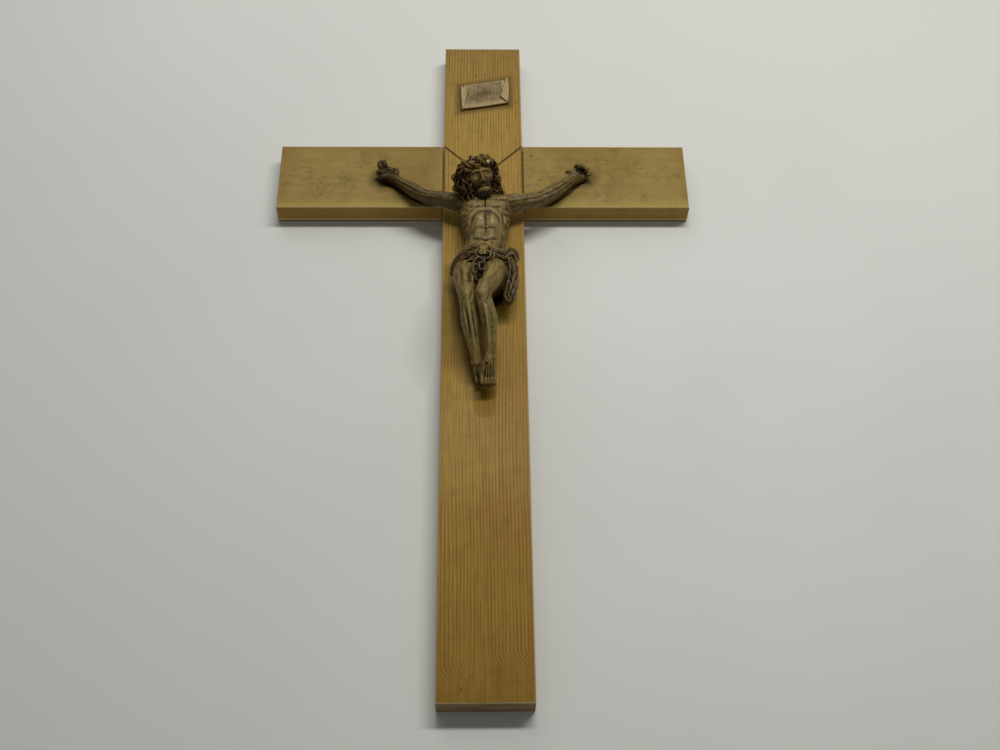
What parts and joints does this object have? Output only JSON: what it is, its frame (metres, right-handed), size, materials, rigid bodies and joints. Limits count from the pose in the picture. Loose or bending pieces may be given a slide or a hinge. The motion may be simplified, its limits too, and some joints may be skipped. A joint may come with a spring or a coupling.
{
  "type": "wall crucifix",
  "caption": "Flat pine wall crucifix with a mitred half-lap crossing, a carved wooden corpus with crown and loincloth, and a bare title scroll; lies flat or hangs from a blind hole.",
  "frame": {"origin": "middle of the cross's back, half way up the post and half way along the bar's length, on the surface it lies on", "axes": "+X to the right seen from the front, +Y up along the post, +Z out of the front towards the viewer"},
  "size_m": [0.229, 0.4, 0.0451],
  "materials": {
    "post_pine": "gloss varnish",
    "bar_pine": "gloss varnish",
    "screw_steel": "satin",
    "carving": "lacquered",
    "dowel_wood": "raw",
    "crown_wood": "lacquered",
    "nail_iron": "dark",
    "scroll_wood": "lacquered"
  },
  "bodies": {
    "root": {"lower_post": "post_pine", "top_post": "post_pine", "crossbar": "bar_pine", "lap_screws": "screw_steel", "corpus_body": "carving", "corpus_arm_right": "carving", "corpus_arm_left": "carving", "shoulder_dowels": "dowel_wood", "crown_of_thorns": "crown_wood", "hand_nails": "nail_iron", "foot_nail": "nail_iron", "corpus_screw": "screw_steel", "title_scroll": "scroll_wood"}
  },
  "joints": []
}
